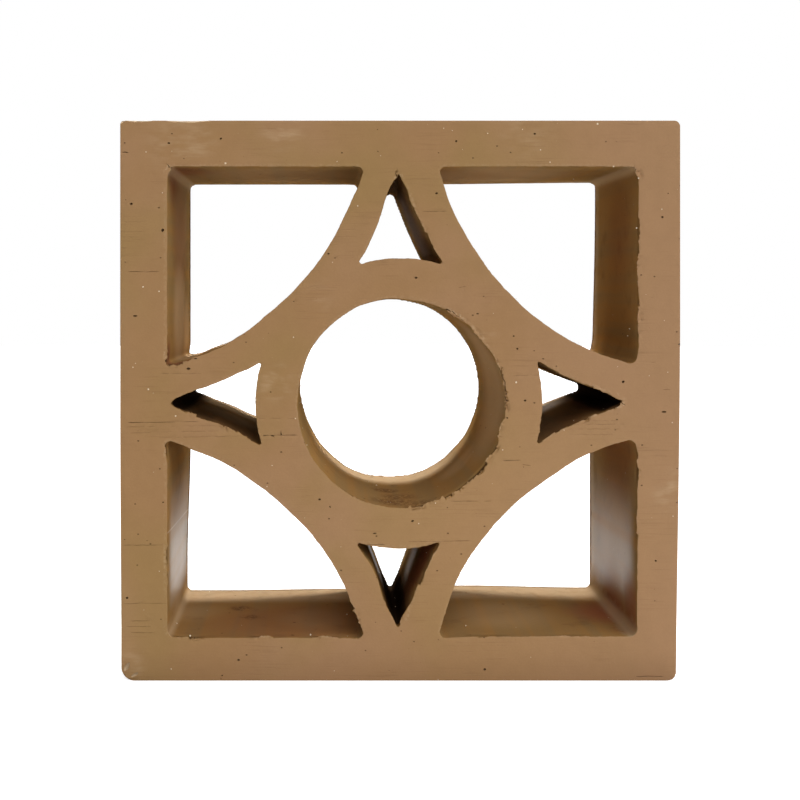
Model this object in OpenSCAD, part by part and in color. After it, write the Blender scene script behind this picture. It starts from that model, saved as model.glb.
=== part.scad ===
// Terracotta breeze block: one piece of fired clay, extruded through a die and cut by wire.
// Four outer walls form a square frame. A round ring stands at its middle, and four arched
// ribs, one across each corner, tie the ring to the walls. Nine openings run through the
// block from front to back: the round hole, four corner cells and four pointed darts.
//
// X is the width, Y the depth and Z the height. The front face looks towards -Y.
// The origin is at the middle of the underside, on which the block lies in its bed.

/* [Block] */
// Width of the block
block_w = 200; // [170:1:260]
// Height of the block
block_h = 200; // [170:1:260]
// Depth of the block, along the extrusion
block_d = 75; // [40:1:150]
// Thickness of the four outer walls
wall_t = 16; // [10:0.5:22]
// Rounding of the four long outer edges
edge_r = 3; // [0.5:0.5:8]

/* [Ring] */
// Diameter of the round hole
hole_d = 74; // [50:1:86]
// Thickness of the ring round the hole
ring_t = 15; // [9:0.5:20]

/* [Ribs] */
// Thickness of the four arched ribs
rib_t = 12.5; // [9:0.5:16]
// Depth to which each rib runs into the ring, on the diagonal
rib_bite = 9; // [4:0.5:12]
// Width of the clay between two neighbouring cells, where their ribs meet a wall
neck_w = 27; // [22:0.5:34]

/* [Die radii] */
// Fillet of a corner cell where two walls meet
cell_corner_r = 2.5; // [0.5:0.5:6]
// Fillet of a corner cell where the rib runs into a wall
cell_end_r = 1.5; // [0.5:0.5:4]
// Fillet at a dart's point
dart_point_r = 2; // [1:0.5:3]
// Fillets at the two feet of a dart, beside the ring
dart_foot_r = 0.8; // [0.4:0.2:2]

/* [Hidden] */
$fn = 128;

// All of the die's profile is drawn about the block's middle, in the upper right quarter.
half_w = block_w / 2;
half_h = block_h / 2;
inner_w = half_w - wall_t;
inner_h = half_h - wall_t;
ring_r = hole_d / 2 + ring_t;

// The outer side of a rib is one arc. It leaves the upper wall and the side wall half a
// neck away from the block's middle lines, and between them it comes as near the middle
// as the ring and the rib's bite let it.
arc_from = [neck_w / 2, inner_h];
arc_to = [inner_w, neck_w / 2];
arc_clear_r = ring_r + rib_t - rib_bite;
arc_c = touching_arc_centre(arc_from, arc_to, arc_clear_r);
arc_r = norm(arc_from - arc_c);
rib_inner_r = arc_r + rib_t;

// Reach of the wedge that clears a corner, in fillet radii
wedge_reach = 3;
// Reach past a tangent point, so that the pieces of a profile overlap
overlap = 1;
// What is added to a fillet's disc, so that it surely meets the sides that it touches
seat = 0.002;

function unit(v) = v / norm(v);
function mirrored(p) = [-p[0], p[1]];
function swapped(p) = [p[1], p[0]];

// Centre of the arc through points a and b that just touches a circle of radius r about the
// origin. It lies on the chord's middle line, at the distance that a quadratic gives.
function touching_arc_centre(a, b, r) =
    let (
        middle = (a + b) / 2,
        half_chord = norm(b - a) / 2,
        along = unit(b - a),
        outward = [-along[1], along[0]],
        k0 = middle * middle - half_chord * half_chord - r * r,
        k1 = 2 * middle * outward,
        q2 = k1 * k1 - 4 * r * r,
        q1 = 2 * k0 * k1,
        q0 = k0 * k0 - 4 * r * r * half_chord * half_chord
    )
    middle + outward * (-q1 + sqrt(q1 * q1 - 4 * q2 * q0)) / (2 * q2);

// Where a circle of radius r_o about the origin crosses one of radius r_c about c,
// on the left-hand side of c as the origin sees it.
function crossing(r_o, c, r_c) =
    let (
        towards = unit(c),
        left = [-towards[1], towards[0]],
        reach = (r_o * r_o - r_c * r_c + c * c) / (2 * norm(c))
    )
    reach * towards + sqrt(r_o * r_o - reach * reach) * left;

// What a fillet of radius r about centre c leaves solid in a corner, between the two
// directions in which it touches the corner's sides.
module corner_fill(c, towards_a, towards_b, r) {
    a = towards_a * r * wedge_reach;
    b = towards_b * r * wedge_reach;
    translate(c) difference() {
        polygon([[0, 0], a, a + b, b]);
        circle(r = r + seat);
    }
}

// Outline of the block, with its four long edges rounded
module outer_profile() {
    difference() {
        square([block_w, block_h], center = true);
        for (x = [-1, 1], y = [-1, 1])
            corner_fill([x * (half_w - edge_r), y * (half_h - edge_r)], [x, 0], [0, y], edge_r);
    }
}

// The round hole
module hole_profile() {
    circle(d = hole_d);
}

// One corner cell, in the upper right quarter: two walls and the rib's outer arc
module cell_profile() {
    corner_c = [inner_w - cell_corner_r, inner_h - cell_corner_r];
    upper_c = cell_end_centre(arc_c, inner_h);
    side_c = swapped(cell_end_centre(swapped(arc_c), inner_w));
    difference() {
        intersection() {
            square([inner_w, inner_h]);
            translate(arc_c) circle(r = arc_r);
        }
        corner_fill(corner_c, [1, 0], [0, 1], cell_corner_r);
        corner_fill(upper_c, [0, 1], unit(upper_c - arc_c), cell_end_r);
        corner_fill(side_c, [1, 0], unit(side_c - arc_c), cell_end_r);
    }
}

// Centre of the fillet between the arc about c and the wall that lies at height wall_y
function cell_end_centre(c, wall_y) =
    let (
        y = wall_y - cell_end_r,
        r = arc_r - cell_end_r,
        rise = c[1] - y
    )
    [c[0] - sqrt(r * r - rise * rise), y];

// Centre of the fillet at the point of a dart, between the inner side of the rib about c and
// the block's middle line. Ribs that don't meet below the wall at height wall_y leave the
// dart blunt: it then ends at that wall, with a fillet in each of its two corners.
function dart_point_centre(c, wall_y) =
    let (
        y = wall_y - dart_point_r,
        r = rib_inner_r + dart_point_r,
        rise = c[1] - y,
        x = c[0] - sqrt(r * r - rise * rise)
    )
    x > 0 ? [x, y] : [0, c[1] - sqrt(r * r - c[0] * c[0])];

// The dart above the ring, between the inner sides of two ribs with centres at c and its
// mirror image. The fillets' discs and the space between them are joined, and then the ring
// and the two ribs are cut away.
module dart_profile(c, wall_y) {
    point_c = dart_point_centre(c, wall_y);
    foot_c = crossing(ring_r + dart_foot_r, c, rib_inner_r + dart_foot_r);
    point_side = point_c + unit(c - point_c) * (dart_point_r + overlap);
    foot_side = foot_c + unit(c - foot_c) * (dart_foot_r + overlap);
    foot_base = foot_c - unit(foot_c) * (dart_foot_r + overlap);
    right_side = [point_c, point_side, foot_side, foot_c, foot_base];
    left_side = [for (i = [len(right_side) - 1 : -1 : 0]) mirrored(right_side[i])];
    difference() {
        union() {
            polygon(concat(right_side, left_side));
            if (point_c[0] > 0)
                translate([0, point_c[1]]) square(2 * [point_c[0], dart_point_r], center = true);
            for (side = [0, 1])
                mirror([side, 0]) {
                    translate(point_c) circle(r = dart_point_r + seat);
                    translate(foot_c) circle(r = dart_foot_r + seat);
                }
        }
        circle(r = ring_r);
        for (centre = [c, mirrored(c)])
            translate(centre) circle(r = rib_inner_r);
    }
}

// The die's profile: the clay seen from the front
module die_profile() {
    difference() {
        outer_profile();
        hole_profile();
        for (x = [0, 1], y = [0, 1])
            mirror([x, 0]) mirror([0, y]) cell_profile();
        for (side = [0, 1]) {
            mirror([0, side]) dart_profile(arc_c, inner_h);
            mirror([side, 0]) rotate(-90) dart_profile(swapped(arc_c), inner_w);
        }
    }
}

// The whole block, one piece of clay
module block() {
    color("#a07a54")
        translate([0, block_d / 2, half_h])
            rotate([90, 0, 0])
                linear_extrude(block_d)
                    die_profile();
}

block();
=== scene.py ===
"""Terracotta breeze block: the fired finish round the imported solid, laid out as a Blender add-on.

The block is a copy of the CAD solid. Its clay is remeshed finely, warped as by firing, torn along the
arrises that the cutting wire left, drawn with drag lines and pitted, and gets one clay material.
Places on the block are in millimetres from its middle, x to the right and z up, as the front face shows.
"""

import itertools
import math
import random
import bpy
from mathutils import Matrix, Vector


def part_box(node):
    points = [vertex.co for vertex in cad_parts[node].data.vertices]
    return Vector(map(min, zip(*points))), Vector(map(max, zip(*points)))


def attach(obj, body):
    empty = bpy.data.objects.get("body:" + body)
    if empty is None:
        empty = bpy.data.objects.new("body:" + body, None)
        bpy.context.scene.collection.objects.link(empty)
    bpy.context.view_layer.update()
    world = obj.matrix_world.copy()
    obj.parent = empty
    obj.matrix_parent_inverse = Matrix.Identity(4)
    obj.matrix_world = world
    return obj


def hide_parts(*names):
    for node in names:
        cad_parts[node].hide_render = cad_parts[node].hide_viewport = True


bl_info = {
    "name": "Terracotta Breeze Block",
    "version": (1, 0, 0),
    "blender": (4, 5, 0),
    "location": "View3D > Sidebar > Breeze Block",
    "description": "Finishes a pierced clay block: torn arrises, drag lines, grit and a plain studio",
    "category": "Object",
}

import bpy
from bpy.props import FloatProperty, FloatVectorProperty, IntProperty, PointerProperty
from mathutils import Vector

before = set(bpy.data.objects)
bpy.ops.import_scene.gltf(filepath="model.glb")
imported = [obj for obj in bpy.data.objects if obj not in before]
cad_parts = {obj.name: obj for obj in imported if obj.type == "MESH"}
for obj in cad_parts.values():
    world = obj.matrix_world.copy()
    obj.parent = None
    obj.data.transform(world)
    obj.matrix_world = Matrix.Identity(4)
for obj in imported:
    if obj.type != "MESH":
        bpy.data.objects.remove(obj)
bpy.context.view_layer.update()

MM = 0.001
NODE = "block"
BODY = "root"

LOW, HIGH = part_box(NODE)
FRONT_Y = LOW.y
BACK_Y = HIGH.y
MIDDLE = (LOW + HIGH) / 2
HALF_W = (HIGH.x - LOW.x) / 2
HALF_H = (HIGH.z - LOW.z) / 2

# The surface of the clay over which grains are scattered, in square metres
CLAY_AREA = 0.13

# Where the camera stands, in mm: x and z in the frame, y from the front face. Its view is shifted, in
# shares of the sensor's width.
CAMERA_PLACE = (-26.2, -456, 137.9)
CAMERA_SHIFT = (0.0915, -0.132)
SENSOR_WIDTH = 36

# Stretches of the front arrises that the wire tore: (x, z, reach, strength), in mm from the middle
TORN = [
    # the hole: cracked at its upper right, lipped on its right, broken at its lower right and foot
    (20.5, 31, 6, 0.8), (28, 23, 8, 0.7), (35, 12, 7, 0.8), (37, 2, 8, 0.9), (34.8, -12, 9, 0.9),
    (28.7, -23.5, 9, 1), (20, -32, 9, 1), (8, -36.5, 9, 0.7), (-17, -34, 5, 0.6),
    # upper right cell: its right edge and corner
    (84.5, 62, 8, 0.35), (84.5, 48, 10, 0.5), (84.5, 30, 10, 0.6), (84.5, 82.5, 4, 0.9),
    # upper left cell: the broken lower corner and a nick at the upper one
    (-82, 15.5, 5, 0.9), (-76, 14.5, 4, 0.8), (-83, 82.5, 3, 0.7),
    # lower left cell: notch, side, bed and rib end
    (-84, -17.5, 4, 0.7), (-83.7, -57, 9, 0.5), (-76, -84.5, 7, 0.8), (-50, -84.8, 5, 0.6),
    (-27, -84, 6, 0.6), (-15.5, -78, 9, 0.55),
    # lower right cell: side and bed
    (84.4, -24, 8, 0.6), (84.4, -45, 8, 0.3), (32, -84.5, 10, 0.3), (60, -84.5, 10, 0.25),
    # upper dart: right side and feet
    (5, 71, 5, 0.5), (9, 62, 6, 0.3), (12.5, 54.5, 4, 0.3), (-1, 80.5, 3, 0.8),
    # left dart: lower side, point and feet
    (-79.5, -1, 4, 0.2), (-72, -4.5, 5, 0.6), (-62, -9.5, 7, 0.6), (-54, -13.5, 3, 0.3),
    # right dart: both sides, point and feet
    (60, 8.5, 6, 0.3), (71, 4, 6, 0.6), (77.5, -0.5, 4, 1.2), (68, -5, 6, 0.7), (58, -10, 5, 0.4),
    (49.8, -8, 4, 0.6),
    # lower dart: right side and feet
    (3, -76, 5, 0.5), (7.5, -66, 6, 0.35), (13, -54, 4, 0.3), (-4, -74, 6, 0.3),
]

# Where the hole's rims lie a little outside or inside their circle: (x, z, reach, push), in mm
HOLE_FRONT_OUT = [(-9, 36, 13, 0.75)]
HOLE_BACK_OUT = [(-14, -34.5, 11, 0.5), (11, -35, 8, 0.4)]
HOLE_BACK_IN = [(-34, -14, 13, 0.35), (6, 36.5, 10, 0.35), (31, -20, 14, 0.3)]

# Small shifts of the clay at the ends of the ribs: (x, z, reach, shift in x, shift in z), in mm
NUDGES = [
    (24, 56, 15, 0.33, 0.12), (50, 26, 20, -0.12, -0.22), (-18.5, 62, 11, -0.2, 0),
    (-65, 18.5, 9, 0, -0.35), (-63.5, -21, 13, 0, 0.4),
]

# Pits and chips in the front face: (x, z, length, width, depth, turn in degrees), in mm from the middle
PITS = [
    (-96, 70.2, 1.1, 0.8, 0.7, 10), (-84.8, 60.8, 1.3, 1, 0.9, 60), (-75.6, 11.4, 1.4, 0.8, 0.8, 0),
    (79.6, 6.7, 1.1, 0.8, 0.9, 30), (41.8, 18.5, 0.8, 0.7, 0.6, 0), (44.6, 0, 0.9, 0.7, 0.6, 0),
    (-82.6, 91.9, 1, 0.6, 0.5, 0), (-64, 93.5, 0.9, 0.7, 0.6, 30), (13, 74, 1, 0.7, 0.6, 15),
    (20, 92.6, 0.8, 0.7, 0.6, 0), (48, 95.2, 0.9, 0.6, 0.5, 0), (93.6, 65.5, 0.9, 0.7, 0.6, 0),
    (-57.7, -92.6, 1, 0.7, 0.6, 0), (-97.5, -70.4, 0.9, 0.8, 0.6, 0), (4.4, -43, 1.1, 0.7, 0.6, 20),
    (-9.1, -47.4, 1.4, 0.5, 0.5, 5), (-28.8, -35.3, 1, 0.7, 0.6, 0), (91.2, -57.2, 0.8, 0.7, 0.6, 0),
    (-73, 15, 1.2, 0.5, 0.5, 0), (-83.2, 14.4, 1.8, 1.2, 1.3, 40), (-80.6, 14.8, 1.4, 0.8, 1, 10),
    (-78.2, 15.9, 1.6, 0.7, 0.9, 15), (40.5, 23, 0.7, 0.5, 0.5, 0), (38.2, -6.2, 0.7, 0.6, 0.5, 0),
]

# Chips off the outer arrises, whose broken face keeps the clay's own colour: the foot of the left
# side, the upper edge and the right side
CHIPS = [
    (-97.6, -95, 3.4, 1.5, 0.8, 60), (-94.8, -97.9, 2.8, 1.1, 0.7, 30), (-76, 100.5, 17, 2.6, 2.2, 0),
    (-92, 100.5, 12, 2.2, 1.8, 2), (-99.6, 100.2, 4, 2.4, 1.6, 30), (100.1, -40, 4.5, 1.6, 1.4, 80),
]

# Cracks in the front face: their corners (x, z), then width and depth, in mm
CRACKS = [
    (((83.6, 82.2), (85, 83.2), (86.4, 84.9)), 0.45, 1.4),
    (((-82.4, 83), (-83.2, 84.6), (-84.4, 85.6)), 0.4, 1.4),
    (((78, 0.2), (79.6, -1.2), (81.4, -2.6)), 0.55, 1.8),
    (((-1.2, 79.6), (-1.4, 81.2), (-1.9, 82.6)), 0.4, 1.2),
    (((16.2, 32.6), (18.6, 31.6), (20.6, 30.2), (23.6, 28.6)), 0.4, 0.9),
    (((-82.6, 12.4), (-80.4, 14.2), (-77.6, 15.6)), 0.8, 2),
    (((36.6, 9.6), (37.4, 5.4), (37.8, 1.2), (37.2, -2.6)), 0.4, 1),
    (((51.8, -12.6), (50.6, -14.6), (49.8, -15.2)), 0.55, 1.4), (((12.4, 50.6), (14.6, 49.4)), 0.4, 1),
]

# Drag lines of the wire: (z, x from, x to, width, darkness, rise), in mm from the middle
DRAGS = [
    (88.6, -99.3, -97, 0.5, 1, 0), (46, -97, -85, 0.28, 0.7, 0), (67.5, 8, 17, 0.3, 0.8, 0),
    (9.6, -87, -71, 0.3, 0.5, 0), (9, 37, 51, 0.32, 0.5, 0), (-7.9, -99, -71, 0.36, 0.8, 0.4),
    (-9.4, -99, -60, 0.24, 0.4, 0.5), (-11.6, -98, -64, 0.28, 0.4, 0.8), (-13.4, -92, -35, 0.26, 0.4, 1.2),
    (-6.4, -54, -36, 0.28, 0.5, 0), (-12.4, -50, -36, 0.28, 0.5, 0), (-7.2, 62, 78, 0.24, 0.5, 0),
    (-8.6, 58, 80, 0.24, 0.6, 0.2), (-10.2, 60, 79, 0.24, 0.5, 0), (-12.2, 60, 76, 0.22, 0.4, 0),
    (-21.4, 36.2, 43, 0.4, 1, 0.1), (-22.8, 43.2, 46.6, 0.3, 0.8, -0.4), (-35.9, 17, 33, 0.3, 0.8, 0),
    (-50.4, 3, 26, 0.32, 0.7, 0.4), (-51.5, -12.6, -5, 0.4, 1, 0.2), (-51.6, -99, -84, 0.28, 0.7, 0),
    (-78.6, -97, -88, 0.26, 0.5, 0), (-80.6, -98, -89, 0.26, 0.5, 0), (-82.8, -97, -87, 0.24, 0.4, 0),
    (-72.4, -99, -80, 0.28, 0.3, 0), (-98.4, 83.8, 94.6, 0.34, 0.9, 0), (13.6, 88, 92.6, 0.26, 0.6, 0),
    (4, 93.6, 97.6, 0.24, 0.6, 0), (40.3, 20.6, 23.6, 0.3, 0.7, 0.4),
]

# Pale scuffs on the front face: (x, z, reach, strength)
SCUFFS = [
    (-42, 97, 10, 0.9), (-78, 93, 16, 0.7), (-44, 6, 8, 0.9), (-29, 38, 7, 0.4), (45, 96, 12, 0.5),
    (97, -33, 9, 1), (-97, -94, 7, 0.8), (30, 20, 7, 0.5),
]

# Where the darts narrow to a point, painted shade darkens the clay towards black: (x, z, reach, strength)
DART_POINT_SHADE = [
    (-0.6, 80, 8, 0.7), (-0.8, -80, 12, 1), (-80, -1.2, 9, 1), (78.5, -0.4, 15, 1),
]

# On the darts' walls a thinner painted shade lies near the front, where the lamps light them most: (x, z,
# reach, strength)
DART_WALL_SHADE = [
    (10, 54, 7, 0.4), (-60, -10, 17, 0.76), (-71, -5, 12, 0.85), (60, -9, 17, 0.77), (-58, -84, 34, 0.22),
    (8, -63, 13, 0.22),
]

# Patches on the walls of the openings. The first list paints shade: darker, redder clay in the cells'
# corners and on shadowed walls, besides a few redder spots of the clay's own. The second paints light:
# paler clay where the walls catch too little light, and painted highlights:
# (x, depth, z, reach, strength), in mm
RUDDY_SHADE = [
    (86, 35, -88, 26, 1), (88, 10, -76, 16, 0.8), (-85, 20, 86, 24, 0.7), (-85, 40, 60, 30, 0.55),
    (84, 30, -22, 34, 0.4), (4, 30, -70, 14, 0.8), (86, 30, 60, 26, 0.3), (-40, 20, -84, 44, 0.42),
    (-80, 4, 16, 9, 0.9), (9, 20, -62, 20, 1),
]
PAINTED_LIGHT_PATCHES = [
    (-84, 40, 30, 28, 1), (-84, 44, 66, 30, 0.4), (-84, 60, 24, 18, 0.8), (40, 30, -84, 26, 0.25),
    (26, 40, -26, 16, 0.4), (34, 36, 84.5, 44, 1), (-46, 36, 84.5, 40, 0.65), (37, 30, 4, 38, 1),
    (9.5, 36, 62, 38, 0.9), (-63, 38, -8, 18, 0.8), (-9, 42, -65, 17, 1), (7.5, 50, -66, 16, 0.8),
    (60, 60, -9, 16, 0.6), (84.5, 35, -56, 28, 0.7), (-84.5, 40, -66, 30, 0.8), (-26, 60, -27, 18, 0.5),
    (-30, 28, -84.5, 20, 0.22),
]

# Stains on the walls, and places where they are burnished: (x, depth, z, reach, strength), in mm
STAINS = [
    (-2, 12, -37, 11, 1), (0.5, 24, -37, 9, 0.9), (-3.5, 38, -37, 7, 1), (6, 6, -37, 8, 0.8),
    (-60, 44, -84.5, 5.5, 1), (-55.2, 30, -84.5, 4.5, 1), (-76, 12, 84.5, 9, 0.5), (-80, 3, 14.5, 8, 1),
]
BURNISHED = [
    (-7.5, 46, -67, 18, 0.65), (7, 50, -67, 12, 0.35), (9.5, 40, 62, 32, 0.1), (60, 66, -9, 14, 0.25),
]

# What is noted on the clay for its finish
NOTES = (
    "torn", "arris", "streaked", "back", "scuffed", "sooty",
    "ruddy", "pale", "stained", "sheen", "dug", "grit",
)

# Single pale grains that stand out: (x, z, radius)
GRAINS = [
    (-62.4, 84.7, 0.42), (-91.8, 40.6, 0.32), (-86.1, 39, 0.25), (15.5, 97.2, 0.3), (18.6, 96.4, 0.24),
    (31.2, 95.4, 0.3), (43.6, 96.8, 0.26), (56.2, 99, 0.22), (50.1, 89.5, 0.24), (53.5, 85.1, 0.22),
    (76.2, 83.6, 0.28), (85.1, 79.4, 0.28), (93.4, 68.3, 0.26), (99, 75.4, 0.25), (-95.4, 11.9, 0.26),
    (-89.9, 4, 0.34), (-80.2, -5.5, 0.3), (-38.1, 22.6, 0.26), (-37.4, -6.4, 0.22), (41.4, 6.5, 0.4),
    (95.5, 10.1, 0.24), (6.6, -43.9, 0.22), (-75, -84, 0.3), (-32, -83.6, 0.26), (12.6, -36.6, 0.22),
]


# --------------------------------------------------------------------------- sizes and colours


def length_setting(name, description, default, low, high):
    """A setting for a length. All three numbers are in mm."""
    return FloatProperty(
        name=name, description=description, default=default * MM, min=low * MM, max=high * MM,
        unit="LENGTH", precision=5,
    )


def count_setting(name, description, default, low=0, high=2000):
    """A setting for a whole number."""
    return IntProperty(name=name, description=description, default=default, min=low, max=high)


def level_setting(name, description, default, low=0, **more):
    """A setting for a strength, a share or the like."""
    return FloatProperty(name=name, description=description, default=default, min=low, **more)


def colour_setting(name, description, *default):
    """A setting for a colour."""
    return FloatVectorProperty(
        name=name, description=description, default=default, subtype="COLOR", size=3, min=0, max=1,
    )


class ShapeSizes(bpy.types.PropertyGroup):
    """Sizes of the relief that firing, the wire and handling left on the block."""

    grain: length_setting("Grain", "Edge of the cells in which the clay is remeshed", 0.45, 0.3, 2)
    back_arris: length_setting("Back arris", "Width of the rounding at the back arrises", 0.8, 0.2, 1.2)
    tear: length_setting("Tear", "Depth of the teeth along a torn arris", 0.9, 0, 2)
    wave: length_setting("Waviness", "How far a face dips below flat", 0.22, 0, 1)
    pits: count_setting("Pits", "Number of small pits scattered over the block", 420)
    triangles: count_setting(
        "Triangles", "Triangles that the clay keeps before pits and cracks are cut", 150000, 20000, 180000,
    )
    grains: count_setting("Grains", "Number of pale grains scattered over the block", 260)
    seed: IntProperty(name="Seed", description="Start of the random draws", default=7, min=0)


class ClayColours(bpy.types.PropertyGroup):
    """Colours of the fired clay, and of the shade and highlights painted on it."""

    body: colour_setting("Body", "Clay on the wire-cut faces", 0.345, 0.196, 0.088)
    pink: colour_setting("Pink", "Blotches fired harder", 0.375, 0.216, 0.112)
    # partly the clay's own golden tone, partly a painted pool of light round the lower right of the ring
    golden_light_pool: colour_setting("Golden", "Clay round the lower right of the ring", 0.4, 0.237, 0.11)
    ochre: colour_setting("Ochre", "Blotches fired softer", 0.32, 0.196, 0.076)
    skin: colour_setting("Die skin", "Clay that the die has smoothed", 0.372, 0.204, 0.068)
    grit: colour_setting("Grit", "Pale grains in the clay", 0.78, 0.66, 0.48)
    # also the colour of painted highlights: pale streaks along the corner fillets and back edges, and the
    # lit strip at the back of the beds
    dust_and_highlight: colour_setting("Dust", "Rubbed and torn clay", 0.56, 0.4, 0.24)
    # also paints shade on the upward-facing die skin, and darkens the front face towards its foot
    smoke: colour_setting("Smoke", "Dark smudges on the die skin", 0.13, 0.062, 0.028)
    # painted light: paler clay where the walls catch too little light, and painted highlights
    pale: colour_setting("Pale", "Die skin that stayed paler", 0.6, 0.405, 0.22)
    # painted shade: darker, redder clay in the cells' corners and on shadowed walls, besides a few redder
    # spots of the clay's own
    ruddy: colour_setting("Ruddy", "Die skin that burnt redder", 0.29, 0.1, 0.048)
    # painted shade inside pits, pores, cracks and drag lines, and under torn lips
    hollow_shade: colour_setting("Soot", "Clay inside pits, cracks and the darts' points", 0.055, 0.028, 0.014)
    # painted shade in the darts' points
    shade_black: colour_setting("Black", "Clay that smoke blackened in the darts' points", 0.016, 0.008, 0.005)
    # also mixed into the painted shade of the darts' points, where that shade is lighter
    rust: colour_setting("Rust", "Iron-rich crumbs in the clay", 0.21, 0.085, 0.035)
    roughness: level_setting("Roughness", "Roughness of the wire-cut faces", 0.9, max=1, subtype="FACTOR")
    skin_roughness: level_setting(
        "Skin roughness", "Roughness of the faces that the die smoothed", 0.75, max=1, subtype="FACTOR",
    )


class StudioLevels(bpy.types.PropertyGroup):
    """Light, floor and camera."""

    key: level_setting("Key", "Power of the broad frontal light", 183, unit="POWER")
    top: level_setting("Top", "Power of the light above the back", 0.46, unit="POWER")
    back: level_setting("Back", "Power of the light behind", 50, unit="POWER")
    dome: level_setting("Dome", "Strength of the surroundings as a light", 0.16)
    gloss: level_setting("Gloss", "Strength of the surroundings in gloss", 0.1)
    lens: level_setting("Lens", "Focal length of the camera, in millimetres", 57.5, 10)


# --------------------------------------------------------------------------- helpers


class Pattern:
    """Adds nodes to one tree and wires them, so that a pattern reads like a sum."""

    def __init__(self, tree):
        self.tree = tree

    def add(self, kind, inputs=None, **settings):
        """Add one node. A socket given as an input is linked to it, and a value is set on it."""
        node = self.tree.nodes.new(kind)
        for name, value in settings.items():
            setattr(node, name, value)
        for key, value in (inputs or {}).items():
            if isinstance(value, bpy.types.NodeSocket):
                self.tree.links.new(value, node.inputs[key])
            else:
                node.inputs[key].default_value = value
        return node

    def math(self, operation, *values):
        """One Math node on one, two or three values."""
        return self.add("ShaderNodeMath", dict(enumerate(values)), operation=operation).outputs[0]

    def absolute(self, value):
        """The number without its sign."""
        return self.math("ABSOLUTE", value)

    def largest(self, *values):
        """The largest of several numbers."""
        result = values[0]
        for value in values[1:]:
            result = self.math("MAXIMUM", result, value)
        return result

    def rest(self, share):
        """What a share leaves of one."""
        return self.math("SUBTRACT", 1, share)

    def vector(self, operation, *values):
        """One Vector Math node, with its vector result."""
        return self.add("ShaderNodeVectorMath", dict(enumerate(values)), operation=operation).outputs[0]

    def scaled(self, vector, factor):
        """The vector times one number."""
        node = self.add("ShaderNodeVectorMath", {0: vector, "Scale": factor}, operation="SCALE")
        return node.outputs["Vector"]

    def distance(self, a, b):
        """How far apart two points are."""
        return self.add("ShaderNodeVectorMath", {0: a, 1: b}, operation="DISTANCE").outputs["Value"]

    def split(self, vector):
        """The X, Y and Z of a vector."""
        return self.add("ShaderNodeSeparateXYZ", {0: vector}).outputs[:]

    def join(self, x, y, z):
        """A vector from its three numbers."""
        return self.add("ShaderNodeCombineXYZ", {0: x, 1: y, 2: z}).outputs[0]

    def fade(self, value, start, end, low=0, high=1):
        """Low up to start, high past end, and smooth between them."""
        inputs = {"Value": value, "From Min": start, "From Max": end, "To Min": low, "To Max": high}
        return self.add("ShaderNodeMapRange", inputs, interpolation_type="SMOOTHSTEP").outputs["Result"]

    def noise(self, vector, scale, detail=2, roughness=0.5, distortion=0):
        """Soft noise from 0 to 1."""
        inputs = {
            "Vector": vector, "Scale": scale, "Detail": detail, "Roughness": roughness,
            "Distortion": distortion,
        }
        return self.add("ShaderNodeTexNoise", inputs, noise_dimensions="3D").outputs[0]

    def total(self, *values):
        """The sum of several numbers."""
        result = values[0]
        for value in values[1:]:
            result = self.math("ADD", result, value)
        return result

    def product(self, *values):
        """The product of several numbers."""
        result = values[0]
        for value in values[1:]:
            result = self.math("MULTIPLY", result, value)
        return result

    def blend(self, factor, a, b, mode="MIX"):
        """Two colours mixed, each a socket or red, green and blue."""
        first, second = (c if isinstance(c, bpy.types.NodeSocket) else (*c, 1) for c in (a, b))
        inputs = {0: factor, 6: first, 7: second}
        return self.add("ShaderNodeMix", inputs, data_type="RGBA", blend_type=mode).outputs[2]

    def over(self, base, colour, *shares):
        """A colour laid over another by the product of the shares."""
        return self.blend(self.product(*shares), base, colour)

    def number_mix(self, factor, a, b):
        """Two numbers mixed."""
        return self.add("ShaderNodeMix", {0: factor, 2: a, 3: b}, data_type="FLOAT").outputs[0]

    def store(self, geometry, name, value, domain):
        """The geometry with a number stored under a name."""
        inputs = {"Geometry": geometry, "Name": name, "Value": value}
        node = self.add("GeometryNodeStoreNamedAttribute", inputs, data_type="FLOAT", domain=domain)
        return node.outputs[0]

    def spots(self, place, spots):
        """The strongest of several soft spots, each (place, reach, strength), where place is in mm."""
        result = 0
        for *spot, reach, strength in spots:
            centre = spot if len(spot) == 3 else (spot[0], 0, spot[1])
            away = self.distance(place, centre)
            result = self.math("MAXIMUM", result, self.fade(away, reach, reach * 0.3, 0, strength))
        return result


def on_front(x, z, depth=0):
    """The point of the front face x and z mm from its middle, and depth mm into the clay."""
    return Vector((MIDDLE.x + x * MM, FRONT_Y + depth * MM, MIDDLE.z + z * MM))


def active():
    """The piece that the last operator made or worked on."""
    return bpy.context.view_layer.objects.active


def only(piece):
    """Select this piece alone and make it the active one."""
    bpy.ops.object.select_all(action="DESELECT")
    piece.select_set(True)
    bpy.context.view_layer.objects.active = piece


def settle(piece):
    """Move the piece's place, turn and size into its mesh."""
    only(piece)
    bpy.ops.object.transform_apply(location=True, rotation=True, scale=True)


def in_edit_mode(*steps):
    """Run edit mode operators, each (operator, settings), on what is selected of the active piece."""
    bpy.ops.object.mode_set(mode="EDIT")
    for step, settings in steps:
        step(**settings)
    bpy.ops.object.mode_set(mode="OBJECT")


def edit(piece, *steps):
    """Run edit mode operators on the whole of the piece."""
    only(piece)
    in_edit_mode((bpy.ops.mesh.select_all, {"action": "SELECT"}), *steps)


def copied(piece, name):
    """A copy of the piece."""
    only(piece)
    bpy.ops.object.duplicate()
    copy = active()
    copy.name = name
    return copy


def joined(pieces, name):
    """Join pieces into one mesh, which takes the name."""
    bpy.ops.object.select_all(action="DESELECT")
    for piece in pieces:
        piece.select_set(True)
    bpy.context.view_layer.objects.active = pieces[0]
    bpy.ops.object.join()
    whole = active()
    whole.name = name
    return whole


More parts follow.
